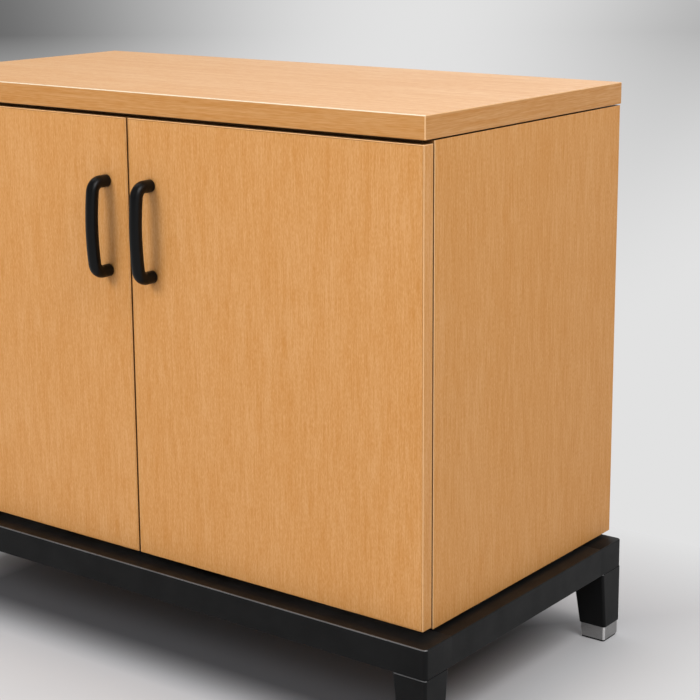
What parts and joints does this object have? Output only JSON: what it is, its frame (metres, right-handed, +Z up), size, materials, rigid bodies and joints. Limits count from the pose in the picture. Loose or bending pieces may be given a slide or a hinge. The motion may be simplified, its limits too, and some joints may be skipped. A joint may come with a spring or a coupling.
{
  "type": "office credenza",
  "caption": "Office credenza: cupboard with hinged doors, bow handles and an adjustable shelf under a thick worktop, on a steel base frame with tapered legs.",
  "frame": {"origin": "on the floor, below the middle of the overall box", "axes": "+X to the right along the doors, -Y out of the door faces, +Z up"},
  "size_m": [1.052, 0.5325, 0.8275],
  "materials": {
    "worktop_laminate": "satin light wood-grain laminate",
    "wood_laminate": "satin light wood-grain laminate",
    "wood_edge_band": "satin wood-grain edge band",
    "beech_dowel": "raw",
    "zinc_fitting": "zinc-plated",
    "nickel_hinge": "nickel-plated",
    "black_handle": "satin black",
    "black_steel": "satin black powder coat",
    "brushed_ferrule": "brushed",
    "black_plastic": "matt",
    "steel_bolt": "zinc-plated",
    "clear_rubber": "soft"
  },
  "bodies": {
    "case": {"back_panel": "wood_laminate", "back_panel_screws": "zinc_fitting", "back_rail": "wood_laminate", "base_packers": "black_plastic", "base_rail_back": "black_steel", "base_rail_front": "black_steel", "base_rail_left": "black_steel", "base_rail_middle": "black_steel", "base_rail_right": "black_steel", "base_screws": "zinc_fitting", "bottom_edging": "wood_edge_band", "bottom_panel": "wood_laminate", "cam_bolts": "zinc_fitting", "cam_locks": "zinc_fitting", "door_bumpers": "clear_rubber", "dowels": "beech_dowel", "ferrule_back_left": "brushed_ferrule", "ferrule_back_right": "brushed_ferrule", "ferrule_front_left": "brushed_ferrule", "ferrule_front_right": "brushed_ferrule", "front_rail": "wood_laminate", "glides": "black_plastic", "hinge_arms_left": "nickel_hinge", "hinge_arms_right": "nickel_hinge", "hinge_plate_screws_left": "zinc_fitting", "hinge_plate_screws_right": "zinc_fitting", "hinge_plates_left": "nickel_hinge", "hinge_plates_right": "nickel_hinge", "leg_back_left": "black_steel", "leg_back_right": "black_steel", "leg_bolts": "steel_bolt", "leg_front_left": "black_steel", "leg_front_right": "black_steel", "rail_edging": "wood_edge_band", "shelf": "wood_laminate", "shelf_edging": "wood_edge_band", "shelf_pins": "nickel_hinge", "side_edging_left": "wood_edge_band", "side_edging_right": "wood_edge_band", "side_panel_left": "wood_laminate", "side_panel_right": "wood_laminate", "worktop_edging": "wood_edge_band", "worktop_packers": "black_plastic", "worktop_panel": "worktop_laminate", "worktop_screws": "zinc_fitting"},
    "left_door": {"door_left": "wood_laminate", "door_edging_left": "wood_edge_band", "handle_left": "black_handle", "handle_screws_left": "zinc_fitting", "hinge_cups_left": "nickel_hinge", "hinge_cup_screws_left": "zinc_fitting", "hinge_pins_left": "nickel_hinge"},
    "right_door": {"door_right": "wood_laminate", "door_edging_right": "wood_edge_band", "handle_right": "black_handle", "handle_screws_right": "zinc_fitting", "hinge_cups_right": "nickel_hinge", "hinge_cup_screws_right": "zinc_fitting", "hinge_pins_right": "nickel_hinge"}
  },
  "joints": [
    {"name": "left_door_swing", "type": "hinge", "parent": "case", "child": "left_door", "pos_m": [-0.4932, -0.21425, 0.475], "axis": [0, 0, -1], "range_deg": [0, 98]},
    {"name": "right_door_swing", "type": "hinge", "parent": "case", "child": "right_door", "pos_m": [0.4932, -0.21425, 0.475], "axis": [0, 0, 1], "range_deg": [0, 98]}
  ]
}
